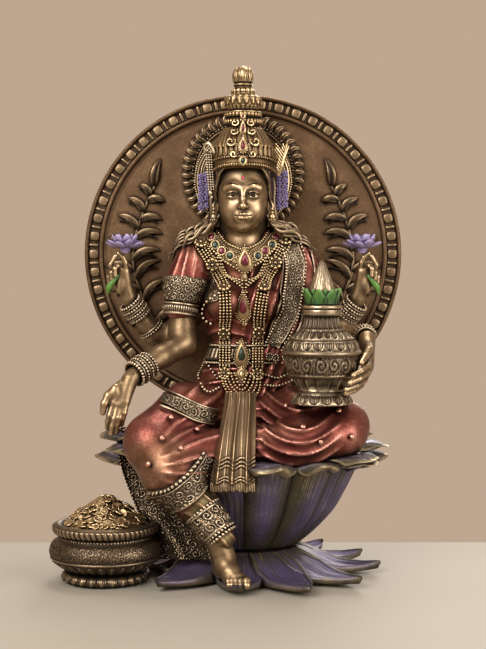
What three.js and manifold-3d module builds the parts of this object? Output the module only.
// A cast deity statue: a four-armed goddess seated on a lotus throne, in front of a round aureole,
// with a filled water pot on one knee and a pot of coins beside the base.
// Millimetres, +Z up, the viewer stands at -Y. The origin is the centre of the base's underside.
// "Right" and "left" are the figure's own, so right is towards -X.
import * as THREE from "three";
import { mergeVertices } from "three/addons/utils/BufferGeometryUtils.js";
import Module from "manifold-3d";

const wasm = await Module();
wasm.setup();

// ---------------------------------------------------------------- driving dimensions
const GAP = 0.3; // glue line between neighbouring castings
const FELT = 1.0; // felt sheet under the base and the coin pot

const BASE = { petals: 12, petalHalf: 11, tipX: 65, tipY: 57, tipHeight: 4.5 };
const PLINTH = { r: 38, shoulder: 7, topR: 31, top: 13 };
const CUP = { petals: 14, footR: 27, rimR: 54, tipR: 71, rim: 55, wall: 3.2, depth: 0.84 };
const SEAT = { r: 50, thickness: 4.5 };
const DISC = { r: 83, thickness: 5, front: 34, z: 159, rimWidth: 9, rimRelief: 2 };
const TENON = { width: 24, thickness: 3.4, depth: 3.5 };
const HALO = { r: 31.8, thickness: 5, z: 199 };
const HEAD = { width: 12.8, depth: 14, height: 17.5, y: 2, z: 186 };
const NECK = { r: 7.6, bottom: 156 };
const CROWN = { r: 17, band: 197, top: 229, spireTop: 252.6 };
const TORSO = { hip: 22, waist: 16.5, chest: 21, depth: 0.74, y: 8 };
const SHOULDER = { x: 24, z: 156, r: 9 };
const LEG = { thigh: 15.5, knee: 13.5, calf: 11, ankle: 6.5, foot: 5.6 };
const ARM = { sleeve: 9, elbow: 6.8, wrist: 4.6, palm: 5.6, finger: 1.9 };
const BRANCH = { relief: 2, stem: 0.9, leaf: 12, shortLeaf: 10, leafHalf: 2.5, spread: 1.1 };
const WATER_POT = { x: 37.7, y: -30, z: 86.4, r: 18.7, foot: 14.8, neck: 8.6, height: 47.5 };
const COIN_POT = { x: -66.4, y: -25, r: 27, rim: 24.6, foot: 20.6, height: 28.5, heap: 12.5 };
const SASH = { width: 24, thickness: 3, bottom: 48 };

const SEAT_TOP = CUP.rim + GAP + SEAT.thickness;
const DRAWN_SEAT = 59.8; // the seat height that the figure, the aureole and the water pot are drawn for
const WATER_POT_TOP = WATER_POT.z + WATER_POT.height;
const LEAVES_TOP = WATER_POT_TOP + GAP + 7;

// ---------------------------------------------------------------- solids
/** A closed three.js geometry as a manifold solid whose faces point out. */
function solidOf(geometry) {
  const bare = new THREE.BufferGeometry();
  bare.setAttribute("position", geometry.getAttribute("position"));
  bare.setIndex(geometry.index);
  const merged = mergeVertices(bare, 1e-4);
  const triVerts = new Uint32Array(merged.index.array);
  const vertProperties = new Float32Array(merged.attributes.position.array);
  const build = () => new wasm.Manifold(new wasm.Mesh({ numProp: 3, vertProperties, triVerts }));
  const made = build();
  if (made.volume() > 0) return made;
  for (let i = 0; i < triVerts.length; i += 3) {
    [triVerts[i + 1], triVerts[i + 2]] = [triVerts[i + 2], triVerts[i + 1]];
  }
  return build();
}

const join = (...solids) => solids.reduce((sum, next) => sum.add(next));
const clamp01 = (t) => Math.min(1, Math.max(0, t));

/** Straight-line interpolation in a list of values, t from 0 to 1. */
function along(values, t) {
  const s = clamp01(t) * (values.length - 1);
  const i = Math.min(Math.floor(s), values.length - 2);
  return THREE.MathUtils.lerp(values[i], values[i + 1], s - i);
}

/** A round-ended body drawn out along a smooth curve: a sphere's rows become stations on the curve. */
function limb(points, radii, { grow = 0, sides = 10, steps = 5, flat = 1, up = [0, 1, 0] } = {}) {
  const curve = new THREE.CatmullRomCurve3(points.map((p) => new THREE.Vector3(...p)));
  const domeSteps = 2;
  const stations = [];
  const station = (t, overhang, share) => {
    const tangent = curve.getTangent(t);
    const radius = along(radii, t) + grow;
    const centre = curve.getPoint(t).addScaledVector(tangent, overhang * radius);
    stations.push({ centre, tangent, radius: radius * share });
  };
  for (let k = 0; k < domeSteps; k++) {
    const a = (Math.PI / 2) * (1 - k / domeSteps);
    station(0, -Math.sin(a), k ? Math.cos(a) : 0);
  }
  for (let k = 0; k <= steps; k++) station(k / steps, 0, 1);
  for (let k = domeSteps - 1; k >= 0; k--) {
    const a = (Math.PI / 2) * (1 - k / domeSteps);
    station(1, Math.sin(a), k ? Math.cos(a) : 0);
  }
  const geometry = new THREE.SphereGeometry(1, sides, stations.length - 1);
  const position = geometry.getAttribute("position");
  const upward = new THREE.Vector3(...up);
  stations.forEach(({ centre, tangent, radius }, row) => {
    const across = new THREE.Vector3().crossVectors(tangent, upward).normalize();
    const over = new THREE.Vector3().crossVectors(across, tangent);
    for (let column = 0; column <= sides; column++) {
      const a = ((column % sides) / sides) * 2 * Math.PI;
      const p = centre.clone();
      p.addScaledVector(across, radius * Math.cos(a));
      p.addScaledVector(over, radius * flat * Math.sin(a));
      position.setXYZ(row * (sides + 1) + column, p.x, p.y, p.z);
    }
  });
  return solidOf(geometry);
}

/** An egg: a sphere with three radii. */
function egg([x, y, z], [rx, ry, rz], { grow = 0, sides = 12, rows = 7 } = {}) {
  const geometry = new THREE.SphereGeometry(1, sides, rows);
  geometry.rotateX(Math.PI / 2);
  geometry.scale(rx + grow, ry + grow, rz + grow);
  geometry.translate(x, y, z);
  return solidOf(geometry);
}

/** A profile of [radius, height] turned about the vertical; depth squeezes it front to back. */
function turned(profile, { grow = 0, x = 0, y = 0, sides = 18, depth = 1 } = {}) {
  const last = profile.length - 1;
  const points = profile.map(([r, z], i) => {
    const end = i === 0 ? -grow : i === last ? grow : 0;
    return new THREE.Vector2(r + grow, z + end);
  });
  points.unshift(new THREE.Vector2(0, points[0].y));
  points.push(new THREE.Vector2(0, points[points.length - 1].y));
  const geometry = new THREE.LatheGeometry(points, sides);
  geometry.rotateX(Math.PI / 2);
  geometry.scale(1, depth, 1);
  geometry.translate(x, y, 0);
  return solidOf(geometry);
}

/** A round plate facing the viewer: a profile of [radius, depth from the front] turned about Y. */
function facing(profile, { y, z, sides }) {
  const points = profile.map(([r, back]) => new THREE.Vector2(r, back));
  const geometry = new THREE.LatheGeometry(points, sides);
  geometry.translate(0, y, z);
  return solidOf(geometry);
}

/** A plate shaped by a function of length u, width v and thickness w, each from 0 to 1. */
function plate(shape, lengthSteps, widthSteps) {
  const geometry = new THREE.BoxGeometry(1, 1, 1, lengthSteps, widthSteps, 1);
  const position = geometry.getAttribute("position");
  for (let i = 0; i < position.count; i++) {
    const u = position.getX(i) + 0.5;
    const v = position.getY(i) + 0.5;
    const w = position.getZ(i) + 0.5;
    position.setXYZ(i, ...shape(u, v, w));
  }
  return solidOf(geometry);
}

/** A straight-sided box between two corners. */
function block([x0, y0, z0], [x1, y1, z1]) {
  const geometry = new THREE.BoxGeometry(x1 - x0, y1 - y0, z1 - z0);
  geometry.translate((x0 + x1) / 2, (y0 + y1) / 2, (z0 + z1) / 2);
  return solidOf(geometry);
}

// ---------------------------------------------------------------- finishes and the assembly
const finishes = {
  bronze: new THREE.MeshStandardMaterial({ color: 0x8a6b4a, roughness: 0.38, metalness: 0.9 }),
  dark_bronze: new THREE.MeshStandardMaterial({ color: 0x5c4833, roughness: 0.5, metalness: 0.8 }),
  copper_red: new THREE.MeshStandardMaterial({ color: 0x8c4a3c, roughness: 0.35, metalness: 0.8 }),
  gold: new THREE.MeshStandardMaterial({ color: 0xb3935a, roughness: 0.35, metalness: 0.95 }),
  silver: new THREE.MeshStandardMaterial({ color: 0x84776a, roughness: 0.35, metalness: 0.9 }),
  violet: new THREE.MeshStandardMaterial({ color: 0x74689a, roughness: 0.5, metalness: 0.3 }),
  green: new THREE.MeshStandardMaterial({ color: 0x2f7a30, roughness: 0.45, metalness: 0.2 }),
  felt: new THREE.MeshStandardMaterial({ color: 0x23211f, roughness: 0.95, metalness: 0 }),
};

const statue = new THREE.Group();
const groups = {};
for (const name of ["throne", "aureole", "figure", "water_vessel", "coin_vessel"]) {
  groups[name] = new THREE.Group();
  statue.add(groups[name]);
}
groups.figure.position.set(0, TORSO.y, DRAWN_SEAT);
groups.aureole.position.set(0, DISC.front, DISC.z);
groups.water_vessel.position.set(WATER_POT.x, WATER_POT.y, WATER_POT.z);
groups.coin_vessel.position.set(COIN_POT.x, COIN_POT.y, 0);

/** What rests on the seat rises and falls with it. */
const lift = { throne: 0, coin_vessel: 0 };
for (const name of ["aureole", "figure", "water_vessel"]) lift[name] = SEAT_TOP - DRAWN_SEAT;

const laid = []; // what is already in place, each with its cutter, one glue line larger

const boxesMeet = (a, b) =>
  [0, 1, 2].every((k) => a.min[k] <= b.max[k] && b.min[k] <= a.max[k]);

/** Adds a casting. shape(grow) gives its solid; it is cut clear of every casting already there. */
function piece(name, group, finish, shape) {
  const placed = (grow) => shape(grow).translate([0, 0, lift[group]]);
  let solid = placed(0);
  for (const other of laid) {
    if (boxesMeet(solid.boundingBox(), other.box)) solid = solid.subtract(other.cutter);
  }
  const cutter = placed(GAP);
  laid.push({ cutter, box: cutter.boundingBox() });
  const { min, max } = solid.boundingBox();
  const centre = new THREE.Vector3(...min).add(new THREE.Vector3(...max)).divideScalar(2);
  const made = solid.getMesh();
  const geometry = new THREE.BufferGeometry();
  geometry.setAttribute("position", new THREE.BufferAttribute(made.vertProperties, 3));
  geometry.setIndex(new THREE.BufferAttribute(made.triVerts, 1));
  geometry.translate(-centre.x, -centre.y, -centre.z);
  geometry.computeVertexNormals();
  const mesh = new THREE.Mesh(geometry, finishes[finish]);
  mesh.name = name;
  mesh.position.copy(centre).sub(groups[group].position);
  groups[group].add(mesh);
}

// ---------------------------------------------------------------- felt sheets
piece("base_felt", "throne", "felt", (grow) =>
  turned([[PLINTH.r, 0], [PLINTH.r, FELT]], { grow }));
piece("coin_pot_felt", "coin_vessel", "felt", (grow) =>
  turned([[COIN_POT.foot - 1, 0], [COIN_POT.foot - 1, FELT]], { grow, x: COIN_POT.x, y: COIN_POT.y }));

// ---------------------------------------------------------------- the two vessels
/** Coin pot: foot, waist, belly, neck and rolled rim. */
function coinPot(grow) {
  const { r, rim, foot, height } = COIN_POT;
  const floor = FELT + GAP;
  const profile = [
    [foot, floor], [foot + 1, floor + 2], [foot - 2.5, 0.22 * height], [0.72 * r, 0.29 * height],
    [0.94 * r, 0.45 * height], [r, 0.6 * height], [r, 0.68 * height], [0.94 * r, 0.76 * height],
    [0.84 * r, 0.83 * height], [rim, 0.9 * height], [rim, height],
  ];
  return turned(profile, { grow, x: COIN_POT.x, y: COIN_POT.y });
}
piece("coin_pot", "coin_vessel", "dark_bronze", coinPot);

piece("coin_heap", "coin_vessel", "gold", (grow) => {
  const { rim, height, heap, x, y } = COIN_POT;
  const floor = height + GAP;
  const r = rim - 3;
  const profile = [[r, floor], [0.93 * r, floor + 0.3 * heap], [0.72 * r, floor + 0.65 * heap],
    [0.4 * r, floor + 0.9 * heap], [0.12 * r, floor + heap]];
  return turned(profile, { grow, x, y, sides: 20 });
});

/** Water pot: spreading foot, round belly, fluted neck and plain collar. */
function waterPot(grow) {
  const { r, foot, neck, z, x, y } = WATER_POT;
  const profile = [
    [foot, z], [foot, z + 1.5], [0.6 * r, z + 6], [0.62 * r, z + 7.5], [0.82 * r, z + 14.5],
    [0.95 * r, z + 17.5], [r, z + 26], [0.96 * r, z + 31], [0.68 * r, z + 35.5],
    [neck, z + 41], [neck + 0.8, z + 42], [neck + 0.8, WATER_POT_TOP],
  ];
  return turned(profile, { grow, x, y });
}
piece("water_pot", "water_vessel", "silver", waterPot);

piece("mango_leaves", "water_vessel", "green", (grow) => {
  const floor = WATER_POT_TOP + GAP;
  const { neck } = WATER_POT;
  const profile = [[neck - 0.6, floor], [neck, floor + 4], [neck - 2, LEAVES_TOP]];
  return turned(profile, { grow, x: WATER_POT.x, y: WATER_POT.y, sides: 16 });
});
piece("coconut", "water_vessel", "silver", (grow) => {
  const floor = LEAVES_TOP + GAP;
  const profile = [[5.6, floor], [5, floor + 3], [2.6, floor + 8.5], [0.7, floor + 13]];
  return turned(profile, { grow, x: WATER_POT.x, y: WATER_POT.y, sides: 12 });
});

// ---------------------------------------------------------------- aureole
const tenon = (grow) => {
  const middle = DISC.front + DISC.thickness / 2;
  const half = TENON.thickness / 2 + grow;
  const bottom = DRAWN_SEAT - TENON.depth - grow;
  return block([-TENON.width / 2 - grow, middle - half, bottom],
    [TENON.width / 2 + grow, middle + half, DISC.z - 0.9 * DISC.r]);
};
piece("aureole_disc", "aureole", "bronze", (grow) => {
  const inner = DISC.r - DISC.rimWidth;
  const profile = [
    [0, -grow], [inner, -grow], [inner + 1, -DISC.rimRelief - grow],
    [DISC.r - 1.5, -DISC.rimRelief - grow], [DISC.r + grow, -0.5], [DISC.r + grow, DISC.thickness + grow],
    [0, DISC.thickness + grow],
  ];
  return join(facing(profile, { y: DISC.front, z: DISC.z, sides: 40 }), tenon(grow));
});
const HALO_FRONT = DISC.front - GAP - HALO.thickness;
piece("halo_plate", "aureole", "dark_bronze", (grow) => {
  const profile = [[0, 1.5 - grow], [HALO.r - 7, 1.5 - grow], [HALO.r - 6, -grow],
    [HALO.r + grow, 1 - grow], [HALO.r + grow, HALO.thickness], [0, HALO.thickness]];
  return facing(profile, { y: HALO_FRONT, z: HALO.z, sides: 24 });
});

// ---------------------------------------------------------------- head and crown
piece("head", "figure", "bronze", (grow) => join(
  egg([0, HEAD.y, HEAD.z], [HEAD.width, HEAD.depth, HEAD.height], { grow }),
  limb([[0, HEAD.y + 4, NECK.bottom], [0, HEAD.y + 3, HEAD.z - 8]], [NECK.r + 1, NECK.r], { grow, steps: 2 }),
));
piece("crown", "figure", "dark_bronze", (grow) => {
  const { r, band, top } = CROWN;
  const profile = [[r - 1.5, band], [r, band + 4], [r, band + 15], [0.75 * r, band + 20],
    [0.62 * r, band + 24], [0.6 * r, band + 27], [0.42 * r, top]];
  return turned(profile, { grow, y: HEAD.y + 2, sides: 20 });
});
piece("crown_spire", "figure", "gold", (grow) => {
  const floor = CROWN.top + GAP;
  const rise = CROWN.spireTop - floor;
  const profile = [[7, floor], [8.2, floor + 0.2 * rise], [5.4, floor + 0.36 * rise],
    [4.2, floor + 0.58 * rise], [4.5, floor + 0.72 * rise], [0.8, CROWN.spireTop]];
  return turned(profile, { grow, y: HEAD.y + 2, sides: 14 });
});

// ---------------------------------------------------------------- torso and legs
/** The trunk: hips, waist and chest on one curve, with the shoulders across it. */
function trunk(grow) {
  const { hip, waist, chest, depth, y } = TORSO;
  const spine = [[0, y, DRAWN_SEAT + GAP + hip], [0, y, DRAWN_SEAT + 42], [0, y - 2, DRAWN_SEAT + 72],
    [0, y, SHOULDER.z - 6]];
  return join(
    limb(spine, [hip, waist, chest, chest - 6], { grow, flat: depth, steps: 7, sides: 14 }),
    limb([[-SHOULDER.x, y, SHOULDER.z], [SHOULDER.x, y, SHOULDER.z]], [SHOULDER.r, SHOULDER.r],
      { grow, steps: 3 }),
  );
}
piece("torso", "figure", "copper_red", trunk);

const RIGHT_KNEE = [-43.5, -32, 68];
const RIGHT_ANKLE = [-10, -46, 21];
piece("right_thigh", "figure", "copper_red", (grow) =>
  limb([[-12, 0, 78], [-28, -18, 78], RIGHT_KNEE], [LEG.thigh, LEG.thigh, LEG.knee], { grow }));
piece("right_shin", "figure", "copper_red", (grow) =>
  limb([[-40, -36, 62], [-27, -42, 44], RIGHT_ANKLE], [LEG.knee - 2, LEG.calf, LEG.ankle + 2], { grow }));
piece("right_foot", "figure", "bronze", (grow) =>
  limb([[RIGHT_ANKLE[0], RIGHT_ANKLE[1], 13], [-6, -50, 9], [-3, -55, 8]],
    [LEG.ankle, LEG.foot, LEG.foot - 2], { grow, steps: 4 }));

const LEFT_KNEE = [49, -16, 73];
piece("left_thigh", "figure", "copper_red", (grow) =>
  limb([[12, 0, 77], [32, -12, 75], LEFT_KNEE], [LEG.thigh, LEG.thigh - 1, LEG.knee], { grow }));
piece("left_shin", "figure", "copper_red", (grow) =>
  limb([[46, -26, 69], [28, -34, 68], [8, -34, 67]], [LEG.calf - 1, LEG.calf - 2, LEG.ankle], { grow }));

// ---------------------------------------------------------------- arms
// Each arm as [name, finish, points, radii].
const RIGHT_ELBOW = [-28, 3, 113];
const LEFT_ELBOW = [35, 10, 117];
const { sleeve, elbow, wrist, palm, finger } = ARM;
const arms = [
  ["right_sleeve", "copper_red", [[-27, TORSO.y, 146], [-28, 6, 128]], [sleeve, sleeve]],
  ["right_forearm", "bronze", [[-28, 5, 124], RIGHT_ELBOW, [-38, -6, 107], [-50, -19, 102]],
    [elbow, elbow, elbow - 0.5, wrist]],
  ["left_sleeve", "copper_red", [[28, TORSO.y, 146], [32, 8, 128]], [sleeve, sleeve]],
  ["left_forearm", "bronze", [LEFT_ELBOW, [48, 8, 119], [59, -4, 119]], [elbow, elbow - 0.6, wrist]],
  ["rear_right_arm", "bronze", [[-24, 20, 128], [-36, 22, 117], [-47, 19, 124], [-57, 15, 134]],
    [elbow, elbow - 0.6, elbow - 1.2, wrist]],
  ["rear_left_arm", "bronze", [[26, 20, 126], [40, 22, 114], [50, 20, 120], [57.5, 16, 133]],
    [elbow, elbow - 0.6, elbow - 1.2, wrist]],
];
for (const [name, finish, points, radii] of arms) {
  piece(name, "figure", finish, (grow) => limb(points, radii, { grow }));
}

// Each hand as its palm's points, its flatness, its upward side and the points of five digits.
const holding = (sign) => ({
  palmPoints: [[sign * 59.5, 13, 139], [sign * 60.5, 11, 149]],
  flat: 0.7,
  up: [0, 1, 0],
  digits: [
    [[sign * 59.5, 11, 149], [sign * 59.5, 9, 154], [sign * 62.5, 9, 158]],
    [[sign * 62.5, 11, 150], [sign * 66.5, 8, 153], [sign * 64, 8, 157.5]],
    [[sign * 63, 10, 151], [sign * 65, 6.5, 151], [sign * 64.5, 6, 146.5]],
    [[sign * 63, 11, 148], [sign * 68, 7, 150], [sign * 67.5, 7, 146]],
    [[sign * 62, 12, 144], [sign * 66, 9, 142.5], [sign * 68, 8, 139]],
  ],
});
const hands = {
  right_hand: {
    palmPoints: [[-54, -23, 99], [-58.5, -26, 95], [-59.5, -27, 87]],
    flat: 0.5,
    up: [0, 1, 0],
    digits: [
      [[-62, -26, 93], [-66, -28, 88], [-67.5, -29, 82]],
      [[-62, -27, 86], [-63.5, -29, 79], [-64.7, -28, 74]],
      [[-60.5, -27, 86], [-61.5, -31, 78], [-63.2, -30, 72]],
      [[-58.5, -27, 86], [-59.5, -30, 79], [-60.8, -29, 73]],
      [[-57, -27, 86], [-56.8, -28, 80], [-58.4, -28, 75.5]],
    ],
  },
  left_hand: {
    palmPoints: [[61, -11, 115], [62, -18, 110], [61, -26, 105]],
    flat: 0.55,
    up: [1, 0, 0],
    digits: [
      [[60, -18, 112], [59, -28, 110], [56.5, -36, 107]],
      [[61, -25, 108], [60, -36, 104], [54, -43, 101]],
      [[61, -25, 105], [59, -38, 101], [52, -45, 98.5]],
      [[60, -24, 102], [57.5, -36, 98], [50, -45, 95.5]],
      [[59, -22, 100], [56.5, -32, 95.5], [50.5, -41, 92.5]],
    ],
  },
  rear_right_hand: holding(-1),
  rear_left_hand: holding(1),
};
for (const [name, { palmPoints, flat, up, digits }] of Object.entries(hands)) {
  piece(name, "figure", "bronze", (grow) => join(
    limb(palmPoints, [wrist - 0.3, palm, palm - 0.3], { grow, flat, up, steps: 3, sides: 8 }),
    ...digits.map((points) => limb(points, [finger, finger - 0.4], { grow, steps: 2, sides: 5 })),
  ));
}
for (const [name, x] of [["right_lotus_flower", -59.5], ["left_lotus_flower", 60.2]]) {
  piece(name, "figure", "violet", (grow) => egg([x, 9, 165.5], [10, 8, 5.2], { grow, sides: 12, rows: 6 }));
}

// ---------------------------------------------------------------- hair, jewellery and cloth
piece("hair", "figure", "dark_bronze", (grow) =>
  egg([0, HEAD.y + 10, HEAD.z], [17.5, 13.5, 24], { grow }));
for (const [side, sign] of [["right", -1], ["left", 1]]) {
  piece(`${side}_ear_tassel`, "figure", "violet", (grow) =>
    limb([[sign * 19, 12, 203], [sign * 21.5, 13, 190], [sign * 20, 13, 176]], [2.4, 3, 2.4],
      { grow, steps: 4, sides: 8 }));
  piece(`${side}_shoulder_lock`, "figure", "dark_bronze", (grow) =>
    limb([[sign * 17, 12, 176], [sign * 27, 10, 170], [sign * 35, 9, 158]], [3.4, 4, 3],
      { grow, steps: 4, sides: 10 }));
}
piece("breast_jewellery", "figure", "gold", (grow) => {
  const relief = 2.2;
  const band = new THREE.Shape();
  band.moveTo(-17, 163);
  band.lineTo(-12, 92);
  band.absarc(0, 92, 12, Math.PI, 2 * Math.PI, false);
  band.lineTo(17, 163);
  band.closePath();
  const depth = 40;
  const outline = new THREE.ExtrudeGeometry(band, { depth, bevelEnabled: false, curveSegments: 8 });
  outline.rotateX(Math.PI / 2);
  return trunk(relief + GAP + grow).intersect(solidOf(outline));
});
piece("waist_sash", "figure", "bronze", (grow) => {
  const fall = new THREE.CatmullRomCurve3([[-16, 86], [-34, 92], [-50, 84], [-56, 68], [-56, SASH.bottom]]
    .map(([y, z]) => new THREE.Vector3(-4.5, y, z)));
  return plate((u, v, w) => {
    const t = THREE.MathUtils.lerp(-0.01, 1.01, u);
    const p = fall.getPoint(clamp01(t));
    const tangent = fall.getTangent(clamp01(t));
    const out = (w - 0.5) * (SASH.thickness + 2 * grow);
    const half = (SASH.width / 2) * THREE.MathUtils.lerp(0.75, 1, u) + grow;
    return [p.x + (v - 0.5) * 2 * half, p.y + tangent.z * out, p.z - tangent.y * out];
  }, 7, 1);
});
piece("sari_train", "figure", "dark_bronze", (grow) =>
  limb([[-58, -10, 70], [-54, -15, 48], [-38, -20, 26], [-28, -30, 20]], [6, 8, 10, 9],
    { grow, flat: 0.6, up: [0.6, 0.8, 0] }));

// ---------------------------------------------------------------- lotus throne
const vertical = new THREE.Vector3(0, 0, 1);

/** One lying petal: flat underneath, rising to its root, pointed and blunt at its tip. */
function lyingPetal(azimuth) {
  const root = PLINTH.topR - 6;
  const reach = Math.hypot(BASE.tipX * Math.cos(azimuth), BASE.tipY * Math.sin(azimuth));
  const floor = FELT + GAP;
  return plate((u, v, w) => {
    const r = THREE.MathUtils.lerp(root, reach, u);
    const half = 1.2 + (BASE.petalHalf - 1.2) * Math.cos((Math.PI / 2) * Math.pow(u, 1.8));
    const side = (v - 0.5) * 2 * half;
    const top = THREE.MathUtils.lerp(PLINTH.top - 5, BASE.tipHeight, Math.sqrt(u));
    const lying = new THREE.Vector3(r, side, floor + w * top).applyAxisAngle(vertical, azimuth);
    return lying.toArray();
  }, 3, 2);
}
piece("base_petal_ring", "throne", "violet", () => {
  const { r, shoulder, topR, top } = PLINTH;
  const plinth = turned([[r, FELT + GAP], [r, shoulder], [topR, top]]);
  const petals = [];
  for (let i = 0; i < BASE.petals; i++) {
    petals.push(lyingPetal(-Math.PI / 2 + (i * 2 * Math.PI) / BASE.petals));
  }
  return join(plinth, ...petals);
});

/** Radius of the cup's core at a height, from its foot to its rim. */
const cupRadius = (z) => {
  const t = clamp01((z - PLINTH.top) / (CUP.rim - PLINTH.top));
  return THREE.MathUtils.lerp(CUP.footR, CUP.rimR, Math.pow(t, 0.72));
};
piece("lotus_cup", "throne", "violet", (grow) => {
  const floor = PLINTH.top + GAP;
  const profile = [];
  const steps = 5;
  for (let i = 0; i <= steps; i++) {
    const z = THREE.MathUtils.lerp(floor, CUP.rim, i / steps);
    profile.push([cupRadius(z), z]);
  }
  return turned(profile, { grow, sides: 22, depth: CUP.depth });
});
piece("seat_pod", "throne", "violet", (grow) =>
  turned([[SEAT.r, CUP.rim + GAP], [SEAT.r, SEAT_TOP - 1], [SEAT.r - 1.5, SEAT_TOP]],
    { grow, sides: 22, depth: CUP.depth }));

/** One standing petal: it follows the cup, then curls out over the rim to its tip. */
function standingPetal(azimuth) {
  const sector = Math.PI / CUP.petals;
  const inner = GAP * 2;
  return plate((u, v, w) => {
    const rise = Math.sin((Math.PI / 2) * Math.min(1, u * 1.12));
    const z = THREE.MathUtils.lerp(PLINTH.top + GAP, CUP.rim + 7, rise);
    const curl = Math.pow(clamp01((u - 0.6) / 0.4), 1.7);
    const base = cupRadius(z) + (CUP.tipR - CUP.rimR - CUP.wall) * curl;
    const r = base + inner + w * CUP.wall;
    const share = 0.93 * Math.min(1, Math.sqrt(Math.max(0.004, 1.02 - Math.pow(u, 5))));
    const a = azimuth + (v - 0.5) * 2 * sector * share;
    return [r * Math.cos(a), CUP.depth * r * Math.sin(a), z];
  }, 5, 2);
}
// The leg, the foot and the hanging cloth stand where these petals would be.
const coveredFrom = -157;
const coveredTo = -80;
let petalNumber = 0;
for (let i = 0; i < CUP.petals; i++) {
  const degrees = -90 + ((i + 0.5) * 360) / CUP.petals;
  if (degrees > coveredFrom && degrees < coveredTo) continue;
  if (degrees - 360 > coveredFrom && degrees - 360 < coveredTo) continue;
  petalNumber += 1;
  const name = `cup_petal_${String(petalNumber).padStart(2, "0")}`;
  piece(name, "throne", "violet", () => standingPetal(THREE.MathUtils.degToRad(degrees)));
}

// ---------------------------------------------------------------- relief branches on the disc
const depthwise = new THREE.Vector3(0, 1, 0);

/** A branch lying on the disc: a bent stem with paired leaves and one more at its end. */
function branch(sign) {
  const { relief, stem: thickness, leafHalf, spread } = BRANCH;
  const front = DISC.front - GAP - relief;
  const stem = new THREE.CatmullRomCurve3([[44, 118], [56, 136], [60, 160], [56, 182], [45, 206]]
    .map(([x, z]) => new THREE.Vector3(sign * x, front, z)));
  const bar = limb(stem.points.map((p) => [p.x, p.y + relief / 2, p.z]), [thickness, thickness],
    { steps: 6, sides: 5 });
  const leaf = (t, side, length) => {
    const root = stem.getPoint(t);
    const heading = stem.getTangent(t).applyAxisAngle(depthwise, -side * sign * spread);
    return plate((u, v, w) => {
      const half = 0.5 + (leafHalf - 0.5) * Math.sin(Math.PI * Math.min(0.93, u + 0.05));
      const s = (v - 0.5) * 2 * half;
      const x = root.x + heading.x * u * length - heading.z * s;
      const z = root.z + heading.z * u * length + heading.x * s;
      return [x, front + 0.2 + w * (relief - 0.2), z];
    }, 2, 1);
  };
  const leaves = [leaf(0.99, 0, BRANCH.shortLeaf)];
  for (const t of [0.25, 0.4, 0.55, 0.7, 0.85]) {
    leaves.push(leaf(t, 1, BRANCH.leaf), leaf(t, -1, BRANCH.shortLeaf));
  }
  return join(bar, ...leaves);
}
piece("right_branch", "aureole", "bronze", () => branch(-1));
piece("left_branch", "aureole", "bronze", () => branch(1));

export default statue;
